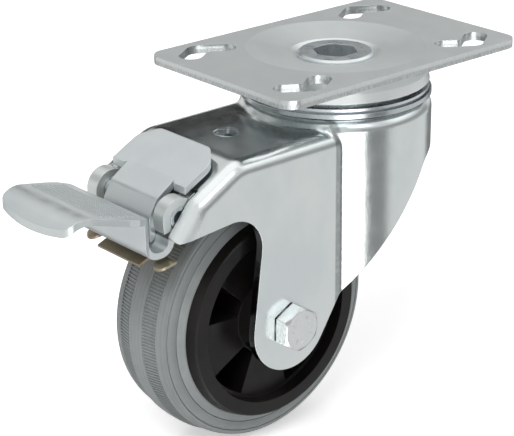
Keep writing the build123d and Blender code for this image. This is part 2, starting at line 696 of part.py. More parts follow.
def brake_pedal():
    """Tread, web and hook of the pedal, in one sheet."""
    rise = tan(radians(TREAD_RISE))
    fall = tan(radians(LIP_FALL))
    inner = HOOK_RADIUS - BRAKE_SHEET / 2
    wall_x = PIN_X - PIN_RADIUS - RUNNING_FIT
    web_x = wall_x - 2 * inner
    front_z = TREAD_Z + rise * (TREAD_X - TREAD_FRONT_X)
    lip_x = TREAD_FRONT_X - LIP_REACH - 2.0
    points = [
        (lip_x, front_z - fall * (TREAD_FRONT_X - lip_x)),
        (TREAD_FRONT_X, front_z),
        (web_x, TREAD_Z - rise * (web_x - TREAD_X)),
        (web_x, HOOK_FLOOR),
        (wall_x, HOOK_FLOOR),
        (wall_x, HOOK_FLOOR + HOOK_CORNER + 0.5),
    ]
    section = bent_sheet(points, [14.0, 4.0, inner - 0.01, HOOK_CORNER], BRAKE_SHEET)
    hook = across(section, HOOK_HALF)
    front = TREAD_FRONT_X - LIP_REACH
    plan = make_face(
        Polyline((front + LIP_BULGE, LIP_HALF), (TREAD_X - 5, TREAD_HALF), (TREAD_X, TREAD_HALF),
                 (web_x, HOOK_HALF), (web_x, -HOOK_HALF), (TREAD_X, -TREAD_HALF),
                 (TREAD_X - 5, -TREAD_HALF), (front + LIP_BULGE, -LIP_HALF))
        + ThreePointArc((front + LIP_BULGE, -LIP_HALF), (front, 0), (front + LIP_BULGE, LIP_HALF))
    )
    plan = fillet(plan.vertices().group_by(Axis.X)[0], 5.0)
    tread = across(section, TREAD_HALF) & extrude(plan, amount=100, both=True)
    return tread + (hook & Pos(web_x + 38.5, 0, 0) * Box(80, 80, 200))


def brake_spring():
    """Spring leaf riveted under the nose; it runs down behind the hook and ends in three fingers."""
    under = CROWN_TOP - CROWN_DROP - SHEET
    bend_x = NOSE_BEND_X + 2.0
    knee_x = NOSE_BEND_X - 14.5
    points = [
        (RIVET_X + 8.0, under),
        (bend_x, under),
        (knee_x, under - (bend_x - knee_x) * tan(radians(NOSE_SLOPE + 1.5))),
        (-109.8, SPRING_HEEL_Z),
        (-124.7, SPRING_HEEL_Z - 2.9),
        (FINGER_TIP_X, SPRING_HEEL_Z - 4.6),
    ]
    section = bent_sheet(points, [12.0, 10.0, 3.0, 6.0], SPRING_SHEET)
    leaf = across(section, SPRING_HALF)
    root = FINGER_TIP_X + 11.0
    tab = Plane.XY * make_face(
        Polyline((root, -4.0), (FINGER_TIP_X + 6.0, -4.0), (FINGER_TIP_X + 6.0, 4.0), (root, 4.0), close=True)
    )
    tab += Pos(FINGER_TIP_X + 6.0, 0) * Circle(4.0)
    plan = Pos(root + 10, 0) * Rectangle(20, 2 * FINGER_HALF)
    for side in (-1, 1):
        plan += Pos(0, side * (FINGER_HALF - 4.0)) * tab
    wide = across(section, FINGER_HALF) & Pos(0, 0, SPRING_HEEL_Z + 7.0) * extrude(plan, amount=-20)
    hole = Pos(RIVET_X, 0, 0) * z_cylinder(RIVET_SHANK + PRESS_GAP, under - 10, under + 1)
    return leaf + wide - hole


NODES = {
    "top_plate": top_plate,
    "kingpin": kingpin,
    "upper_race": upper_race,
    "upper_balls": lambda: ball_row(UPPER_BALLS, UPPER_BALL_PITCH, UPPER_BALL, UPPER_BALL_Z),
    "dust_seal": dust_seal,
    "lower_race": lower_race,
    "lower_balls": lambda: ball_row(LOWER_BALLS, LOWER_BALL_PITCH, LOWER_BALL, LOWER_BALL_Z),
    "lower_cup": lower_cup,
    "fork": fork,
    "nose_rivet": nose_rivet,
    "hinge_pin": hinge_pin,
    "brake_lever": brake_lever,
    "brake_pedal": brake_pedal,
    "brake_spring": brake_spring,
    "wheel_rim": wheel_rim,
    "tyre": tyre,
    "roller_cage": roller_cage,
    "rollers": rollers,
    "axle_tube": axle_tube,
    "axle_bolt": axle_bolt,
    "axle_nut": axle_nut,
    "nut_washer": nut_washer,
}


def main():
    """Build every node."""
    os.makedirs("parts", exist_ok=True)
    for name, build in NODES.items():
        export(name, build())


if __name__ == "__main__":
    main()
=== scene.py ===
"""Looks of a plate-mounted swivel castor with a foot brake and a grey rubber wheel.

Lengths are in metres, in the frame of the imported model: the swivel axis is the Z axis, the top of
the mounting plate is z = 0, and the wheel trails towards -X.
"""
from __future__ import annotations

import json
import logging
import math
from dataclasses import dataclass
from enum import Enum

import bmesh
import bpy
from mathutils import Matrix, Vector

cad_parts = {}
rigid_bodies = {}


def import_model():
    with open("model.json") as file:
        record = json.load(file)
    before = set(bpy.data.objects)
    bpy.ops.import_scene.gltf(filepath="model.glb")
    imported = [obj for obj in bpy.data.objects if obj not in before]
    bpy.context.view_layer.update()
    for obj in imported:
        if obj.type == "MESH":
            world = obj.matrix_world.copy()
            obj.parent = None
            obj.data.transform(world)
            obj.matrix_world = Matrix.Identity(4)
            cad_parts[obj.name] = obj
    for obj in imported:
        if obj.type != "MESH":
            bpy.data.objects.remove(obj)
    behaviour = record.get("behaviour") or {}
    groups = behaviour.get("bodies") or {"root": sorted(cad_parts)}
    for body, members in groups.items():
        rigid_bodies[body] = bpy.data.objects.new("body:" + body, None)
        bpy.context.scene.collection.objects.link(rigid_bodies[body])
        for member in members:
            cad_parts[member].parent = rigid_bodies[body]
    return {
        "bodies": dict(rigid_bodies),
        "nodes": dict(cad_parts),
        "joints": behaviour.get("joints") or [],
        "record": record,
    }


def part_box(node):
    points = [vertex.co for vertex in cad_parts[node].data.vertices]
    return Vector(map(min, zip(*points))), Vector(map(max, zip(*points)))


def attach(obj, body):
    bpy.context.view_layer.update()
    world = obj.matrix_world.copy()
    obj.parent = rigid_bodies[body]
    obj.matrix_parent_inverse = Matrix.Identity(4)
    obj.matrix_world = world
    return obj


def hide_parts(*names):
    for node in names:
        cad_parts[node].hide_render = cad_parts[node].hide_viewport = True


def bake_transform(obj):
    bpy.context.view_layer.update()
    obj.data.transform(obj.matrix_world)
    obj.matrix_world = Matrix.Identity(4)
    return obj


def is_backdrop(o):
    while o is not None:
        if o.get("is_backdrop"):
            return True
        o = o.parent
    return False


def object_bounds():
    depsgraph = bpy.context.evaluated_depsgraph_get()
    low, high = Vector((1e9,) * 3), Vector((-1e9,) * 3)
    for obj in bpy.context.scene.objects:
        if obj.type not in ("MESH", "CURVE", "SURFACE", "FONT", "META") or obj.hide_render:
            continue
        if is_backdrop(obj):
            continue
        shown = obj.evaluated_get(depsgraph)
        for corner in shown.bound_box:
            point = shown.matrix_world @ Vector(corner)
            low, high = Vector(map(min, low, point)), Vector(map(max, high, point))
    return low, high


LOG = logging.getLogger("castor")

Socket = bpy.types.NodeSocket
Colour = tuple[float, float, float]
Point = tuple[float, float, float]
Span = tuple[float, float]
Value = float | Point | Socket

MM = 0.001
AXLE: Point = (-59.2 * MM, 0.0, -112.0 * MM)
SHARP_ANGLE = math.radians(32)
WELD_REACH = 0.001 * MM
CUT_REACH = 0.0001 * MM
BEVEL_SAMPLES = 6
WHITE: Colour = (1.0, 1.0, 1.0)


class Body(str, Enum):
    """The moving bodies that made pieces ride on."""

    FORK = "fork"
    WHEEL = "wheel"
    BRAKE = "brake"


class Slot(str, Enum):
    """The record's material slots, passed along with the made pieces."""

    ZINC = "zinc"
    STEEL = "steel"
    SPRING = "spring_steel"
    RUBBER = "rubber"


class Axis(str, Enum):
    """The parts of a vector."""

    X = "X"
    Y = "Y"
    Z = "Z"


@dataclass(frozen=True)
class Speckle:
    """A layer of noise: waves per metre, octaves of finer noise and its scale along each axis.

    The span holds the noise's values that become the two ends of what it changes.
    """

    scale: float
    detail: float = 2.0
    stretch: Point = (1.0, 1.0, 1.0)
    span: Span = (0.3, 0.7)


@dataclass(frozen=True)
class Relief:
    """How far a pattern of value one stands up from the surface, and how much of it is used."""

    depth: float
    strength: float


# ---- node graphs -----------------------------------------------------------------------------
class Graph:
    """A thin wrapper that adds nodes to a tree and joins their sockets."""

    def __init__(self, tree: bpy.types.NodeTree) -> None:
        """Take over a tree and empty it.

        Args:
            tree: the shader or geometry tree to fill.
        """
        self.tree = tree
        tree.nodes.clear()

    def node(self, kind: str, inputs: dict[str | int, Value] | None = None,
             **settings: str | int) -> bpy.types.Node:
        """Add one node.

        Args:
            kind: the node's type name.
            inputs: input name or number to a value, or to an output socket to join.
            settings: properties of the node itself.

        Returns:
            The new node.
        """
        made = self.tree.nodes.new(kind)
        for key, value in settings.items():
            setattr(made, key, value)
        self.fill(made, inputs or {})
        return made

    def fill(self, node: bpy.types.Node, inputs: dict[str | int, Value]) -> None:
        """Set or join several inputs of a node.

        Args:
            node: the node.
            inputs: input name or number to a value, or to an output socket to join.
        """
        for key, value in inputs.items():
            self.feed(node.inputs[key], value)

    def feed(self, socket: Socket, value: Value) -> None:
        """Join an output to an input socket, or set the input's own value.

        Args:
            socket: the input socket.
            value: an output socket, or a plain value.
        """
        if isinstance(value, Socket):
            self.tree.links.new(value, socket)
        elif socket.type == "RGBA":
            socket.default_value = (*value, 1.0)
        else:
            socket.default_value = value

    def math(self, operation: str, *values: Value) -> Socket:
        """Add a maths node.

        Args:
            operation: the operation's name.
            values: numbers or output sockets.

        Returns:
            The result socket.
        """
        inputs = dict(enumerate(values))
        return self.node("ShaderNodeMath", inputs, operation=operation).outputs[0]

    def add(self, first: Value, second: Value) -> Socket:
        """Return first + second."""
        return self.math("ADD", first, second)

    def minus(self, first: Value, second: Value) -> Socket:
        """Return first - second."""
        return self.math("SUBTRACT", first, second)

    def times(self, first: Value, second: Value) -> Socket:
        """Return first x second."""
        return self.math("MULTIPLY", first, second)

    def ramp(self, value: Socket, span: Span, to: Span = (0.0, 1.0)) -> Socket:
        """Map a value's range to another range, eased in and out and clamped.

        Args:
            value: output socket that is read.
            span: values mapped to the two ends of the result.
            to: the result's two ends.

        Returns:
            The result socket.
        """
        inputs = dict(enumerate((value, *span, *to)))
        return self.node("ShaderNodeMapRange", inputs, interpolation_type="SMOOTHSTEP").outputs[0]

    def vector(self, x: Value = 0.0, y: Value = 0.0, z: Value = 0.0) -> Socket:
        """Join three numbers into a vector."""
        return self.node("ShaderNodeCombineXYZ", {"X": x, "Y": y, "Z": z}).outputs[0]

    def part(self, vector: Socket, axis: Axis) -> Socket:
        """Return a vector's part along one axis."""
        return self.node("ShaderNodeSeparateXYZ", {0: vector}).outputs[axis.value]


class Paint(Graph):
    """A material's graph, which reads the place on the piece and ends in one principled shader."""

    def __init__(self, name: str) -> None:
        """Start the material.

        Args:
            name: the material's name.
        """
        self.material = bpy.data.materials.new(name)
        self.material.use_nodes = True
        super().__init__(self.material.node_tree)
        self.shader = self.node("ShaderNodeBsdfPrincipled")
        self.node("ShaderNodeOutputMaterial", {"Surface": self.shader.outputs[0]})
        self.place = self.node("ShaderNodeTexCoord").outputs["Object"]

    def weigh(self, first: Socket, second: Socket, share: float) -> Socket:
        """Add two values up, with this share of the first and the rest of the second."""
        return self.add(self.times(first, share), self.times(second, 1.0 - share))

    def mix(self, share: Value, first: Colour | Socket, second: Colour | Socket) -> Socket:
        """Mix two colours.

        Args:
            share: share of the second colour.
            first: colour or socket.
            second: colour or socket.

        Returns:
            The mixed colour's socket.
        """
        inputs = {0: share, 6: first, 7: second}  # the numbers of the colour sockets
        return self.node("ShaderNodeMix", inputs, data_type="RGBA").outputs[2]

    def slope(self) -> Socket:
        """Return how far a face looks up: 1 straight up, 0 sideways and -1 straight down."""
        return self.part(self.node("ShaderNodeNewGeometry").outputs["True Normal"], Axis.Z)

    def noise(self, speckle: Speckle) -> Socket:
        """Add a noise that reads the place.

        Args:
            speckle: the noise's scale, detail and stretch.

        Returns:
            The noise's value socket.
        """
        moved = self.node("ShaderNodeMapping", {"Vector": self.place, "Scale": speckle.stretch})
        return self.node("ShaderNodeTexNoise", {"Vector": moved.outputs[0], "Scale": speckle.scale,
                                                "Detail": speckle.detail}).outputs["Fac"]

    def patchy(self, speckle: Speckle, to: Span = (0.0, 1.0)) -> Socket:
        """Return a value that wanders between two ends as a noise does."""
        return self.ramp(self.noise(speckle), speckle.span, to)

    def soft_edge(self, radius: float) -> Socket:
        """Return the normal with its edges rounded to a radius."""
        return self.node("ShaderNodeBevel", {"Radius": radius}, samples=BEVEL_SAMPLES).outputs[0]

    def bump(self, height: Socket, relief: Relief, normal: Socket | None = None) -> Socket:
        """Add a bump.

        Args:
            height: the height's socket.
            relief: how far it stands up.
            normal: a normal to start from.

        Returns:
            The bumped normal's socket.
        """
        inputs = {"Height": height, "Distance": relief.depth, "Strength": relief.strength}
        if normal is not None:
            inputs["Normal"] = normal
        return self.node("ShaderNodeBump", inputs).outputs[0]


# ---- finishes --------------------------------------------------------------------------------
@dataclass(frozen=True)
class Finish:
    """A named finish that builds its own material."""

    name: str

    def material(self) -> bpy.types.Material:
        """Build the material.

        Returns:
            The new material.
        """
        paint = Paint(self.name)
        paint.fill(paint.shader, self.inputs(paint))
        return paint.material

    def inputs(self, paint: Paint) -> dict[str, Value]:
        """Work out the shader's inputs.

        Args:
            paint: the material's graph.

        Returns:
            Input name to value or socket.
        """
        raise NotImplementedError


@dataclass(frozen=True)
class CreaseShadePaint:
    """A painted shade: a dark streak painted along a hollow bend, standing in for the shade in that
    crease.
    """

    line: float
    colour: Colour = (0.12, 0.135, 0.14)
    half_width: Span = (0.9 * MM, 2.1 * MM)
    strength: float = 0.6
    patches: Speckle = Speckle(420.0, 3.0, span=(0.25, 0.6))
    patch_share: Span = (0.75, 1.0)

    def share(self, paint: Paint) -> Socket:
        """Work out how much of the painted crease shade shows, from 0 to 1.

        Args:
            paint: the material's graph.

        Returns:
            The share's socket.
        """
        away = paint.math("ABSOLUTE", paint.minus(paint.part(paint.place, Axis.X), self.line))
        near = paint.ramp(away, self.half_width, (self.strength, 0.0))
        return paint.times(near, paint.patchy(self.patches, self.patch_share))


@dataclass(frozen=True)
class SatinEnd:
    """The end of a pressing that has come out satin, below a place along X."""

    end: float
    fade: float = 6.0 * MM
    dulling: float = 0.4
    roughening: float = 0.14

    def share(self, paint: Paint) -> Socket:
        """Return how satin the piece is, from 0 to 1."""
        fade = (self.end, self.end + self.fade)
        return paint.ramp(paint.part(paint.place, Axis.X), fade, (1.0, 0.0))


@dataclass(frozen=True)
class ShearedEdge:
    """Cut faces that stand upright, dull and rough, with the torn band of a sheared edge."""

    bare: Colour = (0.34, 0.35, 0.35)
    upright_span: Span = (0.2, 0.6)
    torn_height: Span = (-2.6 * MM, -1.4 * MM)
    cut_share: float = 0.25
    tear: Speckle = Speckle(1100.0, 3.0, (1.0, 1.0, 0.4), (0.3, 0.65))
    tear_share: Span = (0.25, 0.75)
    roughening: float = 0.15
    relief: Relief = Relief(0.16 * MM, 0.8)

    def wear(self, paint: Paint, colour: Socket, rough: Socket,
             normal: Socket) -> tuple[Socket, Socket, Socket]:
        """Lay the cut edge over a finish.

        Args:
            paint: the material's graph.
            colour: the colour so far.
            rough: the roughness so far.
            normal: the normal so far.

        Returns:
            The colour, the roughness and the normal.
        """
        upright = paint.ramp(paint.math("ABSOLUTE", paint.slope()), self.upright_span, (1.0, 0.0))
        torn = paint.ramp(paint.part(paint.place, Axis.Z), self.torn_height, (1.0, self.cut_share))
        share = paint.times(upright, torn)
        tear = paint.noise(self.tear)
        bared = paint.times(share, paint.ramp(tear, self.tear.span, self.tear_share))
        colour = paint.mix(bared, colour, self.bare)
        rough = paint.add(rough, paint.times(share, self.roughening))
        return colour, rough, paint.bump(paint.times(tear, share), self.relief, normal)


@dataclass(frozen=True)
class ZincFinish(Finish):
    """Bright zinc plating on pressed steel: a cold grey mirror, blurred and slightly grainy.

    Where wall_roughness is given, only the faces that look up keep the metallic and the roughness,
    and the others are full metal with that roughness: painted shade, which darkens the faces that
    do not look up, such as an underside.
    """

    name: str = "zinc_plating"
    light: Colour = (0.60, 0.635, 0.645)
    shade: Colour = (0.53, 0.575, 0.60)
    metallic: float = 1.0
    roughness: float = 0.20
    wall_roughness: float | None = None
    level_span: Span = (0.3, 0.7)
    unevenness: float = 0.06
    grain: float = 0.5
    forged: float = 0.0
    edge: float = 0.45 * MM
    sheared: ShearedEdge | None = None
    crease_shade: CreaseShadePaint | None = None
    satin: SatinEnd | None = None
    cloud: Speckle = Speckle(22.0, 3.0)
    bath: Speckle = Speckle(90.0, 4.0, (1.0, 1.0, 0.35))
    cloud_share: float = 0.7
    tint_span: Span = (0.35, 0.65)
    patches: Speckle = Speckle(140.0, 3.0)
    peel: Speckle = Speckle(900.0)
    crystals: Speckle = Speckle(2600.0, 1.0)
    peel_share: float = 0.6
    skin_depth: float = 0.07 * MM
    forge_scale: Speckle = Speckle(620.0, 3.0)
    forge_depth: float = 0.12 * MM

    def inputs(self, paint: Paint) -> dict[str, Value]:
        """Work out the plating, what forming the piece has left on it, and the painted shade along
        a crease.

        Args:
            paint: the material's graph.

        Returns:
            Input name to value or socket.
        """
        tint = paint.weigh(paint.noise(self.cloud), paint.noise(self.bath), self.cloud_share)
        colour = paint.mix(paint.ramp(tint, self.tint_span), self.shade, self.light)
        # painted shade: a dark streak along the hollow bend stands in for the shade in the crease
        if self.crease_shade is not None:
            colour = paint.mix(self.crease_shade.share(paint), colour, self.crease_shade.colour)
        metal, rough = self.polish(paint)
        skin = paint.weigh(paint.noise(self.peel), paint.noise(self.crystals), self.peel_share)
        normal = paint.bump(skin, Relief(self.skin_depth, self.grain), paint.soft_edge(self.edge))
        if self.forged:
            relief = Relief(self.forge_depth, self.forged)
            normal = paint.bump(paint.noise(self.forge_scale), relief, normal)
        if self.sheared is not None:
            colour, rough, normal = self.sheared.wear(paint, colour, rough, normal)
        return {"Metallic": metal, "Base Color": colour, "Roughness": rough, "Normal": normal}

    def polish(self, paint: Paint) -> tuple[Value, Socket]:
        """Work out how metallic and how rough the plating is.

        Args:
            paint: the material's graph.

        Returns:
            The metallic value and the roughness.
        """
        ends = (self.roughness - self.unevenness, self.roughness + self.unevenness)
        rough = paint.patchy(self.patches, ends)
        if self.wall_roughness is not None:
            # painted shade: faces that do not look up become full metal, which darkens them
            slope = paint.slope()
            metal = paint.ramp(slope, self.level_span, (1.0, self.metallic))
            more = self.wall_roughness - self.roughness
            return metal, paint.add(rough, paint.ramp(slope, self.level_span, (more, 0.0)))
        if self.satin is not None:
            share = self.satin.share(paint)
            metal = paint.minus(1.0, paint.times(share, self.satin.dulling))
            return metal, paint.add(rough, paint.times(share, self.satin.roughening))
        return self.metallic, rough


@dataclass(frozen=True)
class BallSteelFinish(Finish):
    """Polished bearing steel under a thin film of grease."""

    name: str = "bearing_steel"
    colour: Colour = (0.50, 0.50, 0.51)
    greasy: Colour = (0.40, 0.36, 0.30)
    film: Speckle = Speckle(260.0, span=(0.35, 0.7))
    roughness: Span = (0.12, 0.3)

    def inputs(self, paint: Paint) -> dict[str, Value]:
        """Work out the steel and its film.

        Args:
            paint: the material's graph.

        Returns:
            Input name to value or socket.
        """
        film = paint.patchy(self.film)
        return {"Base Color": paint.mix(film, self.colour, self.greasy), "Metallic": 1.0,
                "Roughness": paint.ramp(film, (0.0, 1.0), self.roughness)}


@dataclass(frozen=True)
class SpringFinish(Finish):
    """Hardened spring strip, browned by tempering."""

    name: str = "tempered_strip"
    brown: Colour = (0.30, 0.235, 0.165)
    olive: Colour = (0.35, 0.315, 0.225)
    metallic: float = 0.75
    roughness: Span = (0.32, 0.5)
    edge: float = 0.25 * MM
    cloud: Speckle = Speckle(60.0, 3.0, span=(0.4, 0.65))
    patches: Speckle = Speckle(500.0)
    skin: Speckle = Speckle(1500.0)
    relief: Relief = Relief(0.03 * MM, 0.4)

    def inputs(self, paint: Paint) -> dict[str, Value]:
        """Work out the tempering colours and the rolled skin.

        Args:
            paint: the material's graph.

        Returns:
            Input name to value or socket.
        """
        cloud = paint.patchy(self.cloud)
        skin = paint.bump(paint.noise(self.skin), self.relief, paint.soft_edge(self.edge))
        return {"Base Color": paint.mix(cloud, self.brown, self.olive), "Metallic": self.metallic,
                "Roughness": paint.patchy(self.patches, self.roughness), "Normal": skin}


@dataclass(frozen=True)
class RubberFinish(Finish):
    """Grey moulded rubber with the fine turning marks of the mould."""

    name: str = "grey_rubber"
    colour: Colour = (0.225, 0.245, 0.245)
    pale: Colour = (0.29, 0.31, 0.31)
    roughness: Span = (0.48, 0.62)
    across_share: float = 0.6
    turning: Speckle = Speckle(1900.0)
    bloom: Speckle = Speckle(45.0, 4.0)
    bloom_share: float = 0.6
    tone_span: Span = (0.32, 0.68)
    patches: Speckle = Speckle(300.0, 3.0)
    pores: Speckle = Speckle(2400.0)
    ring_relief: Relief = Relief(0.06 * MM, 0.55)
    pore_relief: Relief = Relief(0.02 * MM, 0.5)

    def inputs(self, paint: Paint) -> dict[str, Value]:
        """Work out the bloom, the turning marks and the pores.

        Args:
            paint: the material's graph.

        Returns:
            Input name to value or socket.
        """
        rings = self.rings(paint)
        tone = paint.weigh(paint.noise(self.bloom), rings, self.bloom_share)
        normal = paint.bump(rings, self.ring_relief)
        return {"Base Color": paint.mix(paint.ramp(tone, self.tone_span), self.colour, self.pale),
                "Roughness": paint.patchy(self.patches, self.roughness),
                "Normal": paint.bump(paint.noise(self.pores), self.pore_relief, normal)}

    def rings(self, paint: Paint) -> Socket:
        """Make fine rings round the axle, which follow the tread and the sidewall.

        Args:
            paint: the material's graph.

        Returns:
            The rings' value socket.
        """
        no_y = (1.0, 0.0, 1.0)
        centred = paint.node("ShaderNodeVectorMath", {0: paint.place, 1: AXLE},
                             operation="SUBTRACT")
        flat = paint.node("ShaderNodeVectorMath", {0: centred.outputs[0], 1: no_y},
                          operation="MULTIPLY")
        radius = paint.node("ShaderNodeVectorMath", {0: flat.outputs[0]}, operation="LENGTH")
        across = paint.math("ABSOLUTE", paint.part(paint.place, Axis.Y))
        along = paint.add(radius.outputs["Value"], paint.times(across, self.across_share))
        return paint.node("ShaderNodeTexNoise", {"W": along, "Scale": self.turning.scale,
                                                 "Detail": self.turning.detail},
                          noise_dimensions="1D").outputs["Fac"]


@dataclass(frozen=True)
class MouldedFinish(Finish):
    """Moulded black plastic, satin, with a faint flow in its colour."""

    name: str = "black_moulding"
    colour: Colour = (0.0070, 0.0062, 0.0058)
    worn: Colour = (0.0115, 0.0103, 0.0097)
    roughness: Span = (0.30, 0.44)
    shine: float = 0.22
    refraction: float = 1.49
    edge: float = 0.5 * MM
    flow: Speckle = Speckle(35.0, 4.0, span=(0.35, 0.7))
    patches: Speckle = Speckle(180.0, 3.0)
    skin: Speckle = Speckle(1300.0)
    relief: Relief = Relief(0.02 * MM, 0.4)

    def inputs(self, paint: Paint) -> dict[str, Value]:
        """Work out the flow and the moulded skin.

        Args:
            paint: the material's graph.

        Returns:
            Input name to value or socket.
        """
        flow = paint.patchy(self.flow)
        skin = paint.bump(paint.noise(self.skin), self.relief, paint.soft_edge(self.edge))
        return {"Base Color": paint.mix(flow, self.colour, self.worn), "IOR": self.refraction,
                "Specular IOR Level": self.shine, "Normal": skin,
                "Roughness": paint.patchy(self.patches, self.roughness)}


# ---- making pieces ---------------------------------------------------------------------------
class Workshop:
    """Holds the frame and the materials, and hands out dressed nodes and finished pieces."""

    def __init__(self, frame: dict) -> None:
        """Keep the frame.
        """
        self.nodes: dict[str, bpy.types.Object] = frame["nodes"]
        self.made: dict[str, bpy.types.Material] = {}

    def material(self, finish: Finish) -> bpy.types.Material:
        """Build a finish once.

        Args:
            finish: the finish.

        Returns:
            Its material.
        """
        if finish.name not in self.made:
            self.made[finish.name] = finish.material()
        return self.made[finish.name]

    def dress(self, finish: Finish, *nodes: str) -> None:
        """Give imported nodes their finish.

        Args:
            finish: the finish.
            nodes: the nodes' names.
        """
        for node in nodes:
            mesh = self.nodes[node].data
            mesh.materials.clear()
            mesh.materials.append(self.material(finish))
            LOG.info("%s: packed node in %s", node, finish.name)

    def piece(self, name: str, mesh: bpy.types.Mesh, body: Body | None, slot: Slot,
              replaces: tuple[str, ...] = ()) -> bpy.types.Object:
        """Put a finished mesh in the scene as a piece.

        Args:
            name: the piece's name.
            mesh: its mesh, already in place.
            body: the body that it moves with, or None to leave it on no body.
            slot: the record's slot of its finish; not used.
            replaces: nodes that it stands for.

        Returns:
            The piece's object.
        """
        made = bpy.data.objects.new(name, mesh)
        bpy.context.scene.collection.objects.link(made)
        if body is not None:
            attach(made, body.value)
        if replaces:
            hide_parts(*replaces)
        rides = body.value if body else "two bodies"
        LOG.info("%s: %d faces on %s", name, len(mesh.polygons), rides)
        return made


class Repeater(Graph):
    """A geometry tree with named inputs, run once to give a plain mesh."""

    def __init__(self, name: str, **kinds: str) -> None:
        """Start a tree with its named inputs.

        Args:
            name: the tree's name.
            kinds: input name to socket kind, such as Float, Int, Vector or Material.
        """
        super().__init__(bpy.data.node_groups.new(name, "GeometryNodeTree"))
        new_socket = self.tree.interface.new_socket
        new_socket(name="Geometry", in_out="OUTPUT", socket_type="NodeSocketGeometry")
        self.identifiers: dict[str, str] = {}
        for label, kind in kinds.items():
            made = new_socket(name=label, in_out="INPUT", socket_type=f"NodeSocket{kind}")
            self.identifiers[label] = made.identifier
        entry = self.node("NodeGroupInput")
        self.given: dict[str, Socket] = {label: entry.outputs[label] for label in kinds}

    def turned_points(self, across: Value) -> tuple[Socket, Socket]:
        """Set points on a circle round the Y direction, from the inputs Count and Radius.

        Args:
            across: place along Y.

        Returns:
            The points, and the angle that turns Z outwards at each.
        """
        count, radius = self.given["Count"], self.given["Radius"]
        index = self.node("GeometryNodeInputIndex").outputs[0]
        angle = self.math("DIVIDE", self.times(index, 2 * math.pi), count)
        place = self.vector(self.times(self.math("COSINE", angle), radius), across,
                            self.times(self.math("SINE", angle), radius))
        points = self.node("GeometryNodePoints", {"Count": count, "Position": place}).outputs[0]
        return points, self.vector(y=self.minus(math.pi / 2, angle))

    def bar(self) -> Socket:
        """Return a plain bar, from the input Size."""
        return self.node("GeometryNodeMeshCube", {"Size": self.given["Size"]}).outputs[0]

    def tapered_bar(self, taper_x: float, taper_y: float = 0.0) -> Socket:
        """Make a bar that is narrower along its top.

        Args:
            taper_x: share of the width that the top loses.
            taper_y: share of the length that the top loses.

        Returns:
            The bar.
        """
        corner = self.node("GeometryNodeInputPosition").outputs[0]
        top = self.node("FunctionNodeCompare", {0: self.part(corner, Axis.Z), 1: 0.0},
                        operation="GREATER_THAN").outputs[0]
        narrow = self.vector(self.times(self.part(corner, Axis.X), -taper_x),
                             self.times(self.part(corner, Axis.Y), -taper_y))
        return self.node("GeometryNodeSetPosition",
                         {0: self.bar(), "Selection": top, "Offset": narrow}).outputs[0]

    def set_on(self, points: Socket, piece: Socket, turn: Socket) -> Socket:
        """Set a piece on every point, turned by an angle."""
        return self.node("GeometryNodeInstanceOnPoints", {
            "Points": points, "Instance": piece, "Rotation": turn}).outputs[0]

    def moved(self, geometry: Socket, shift: Value = (0.0, 0.0, 0.0),
              turn: Value = (0.0, 0.0, 0.0)) -> Socket:
        """Turn a geometry, then shift it."""
        return self.node("GeometryNodeTransform", {
            0: geometry, "Translation": shift, "Rotation": turn}).outputs[0]

    def finish(self, geometry: Socket, smooth: bool) -> None:
        """End the tree: real geometry, its shading, and the input Finish as its material.

        Args:
            geometry: the instances.
            smooth: shade smooth.
        """
        real = self.node("GeometryNodeRealizeInstances", {0: geometry}).outputs[0]
        shaded = self.node("GeometryNodeSetShadeSmooth",
                           {0: real, "Shade Smooth": smooth}).outputs[0]
        dressed = self.node("GeometryNodeSetMaterial",
                            {0: shaded, "Material": self.given["Finish"]}).outputs[0]
        self.node("NodeGroupOutput", {0: dressed})

    def mesh(self, name: str, **values: Value | bpy.types.Material) -> bpy.types.Mesh:
        """Run the tree with these values.

        Args:
            name: the mesh's name.
            values: input name to value.

        Returns:
            A plain mesh.
        """
        holder = bpy.data.objects.new(name + "_rule", bpy.data.meshes.new(name + "_rule"))
        bpy.context.scene.collection.objects.link(holder)
        modifier = holder.modifiers.new("rule", "NODES")
        modifier.node_group = self.tree
        for label, value in values.items():
            modifier[self.identifiers[label]] = value
        depsgraph = bpy.context.evaluated_depsgraph_get()
        made = bpy.data.meshes.new_from_object(holder.evaluated_get(depsgraph))
        made.name = name
        holder.modifiers.remove(modifier)
        bpy.data.objects.remove(holder)
        return made


def mesh_from(shape: bmesh.types.BMesh, name: str) -> bpy.types.Mesh:
    """Turn a working shape into a mesh and let the shape go.

    Args:
        shape: the working shape.
        name: the mesh's name.

    Returns:
        The mesh.
    """
    made = bpy.data.meshes.new(name)
    shape.to_mesh(made)
    shape.free()
    return made


def shade_smooth(mesh: bpy.types.Mesh) -> None:
    """Shade a mesh smooth between its sharp edges."""
    mesh.polygons.foreach_set("use_smooth", [True] * len(mesh.polygons))
    mesh.set_sharp_from_angle(angle=SHARP_ANGLE)


def turned_mesh(name: str, profile: list[Span], steps: int) -> bpy.types.Mesh:
    """Turn a closed profile round the axle.

    Args:
        name: the mesh's name.
        profile: (across, radius) points of the closed outline.
        steps: faces round the turn.

    Returns:
        The mesh, with its faces outwards.
    """
    shape = bmesh.new()
    rings = []
    for step in range(steps):
        angle = 2 * math.pi * step / steps
        out = Vector((math.cos(angle), 0.0, math.sin(angle)))
        rings.append([shape.verts.new(Vector(AXLE) + out * radius + Vector((0.0, across, 0.0)))
                      for across, radius in profile])
    for step, ring in enumerate(rings):
        after = rings[(step + 1) % steps]
        for index in range(len(profile)):
            other = (index + 1) % len(profile)
            shape.faces.new((ring[index], ring[other], after[other], after[index]))
    bmesh.ops.recalc_face_normals(shape, faces=shape.faces)
    made = mesh_from(shape, name)
    shade_smooth(made)
    return made


# ---- sub-assemblies --------------------------------------------------------------------------
@dataclass(frozen=True)
class BallRow:
    """One row of balls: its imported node, its name, and its sizes."""

    node: str
    name: str
    count: int
    radius: float
    pitch: float


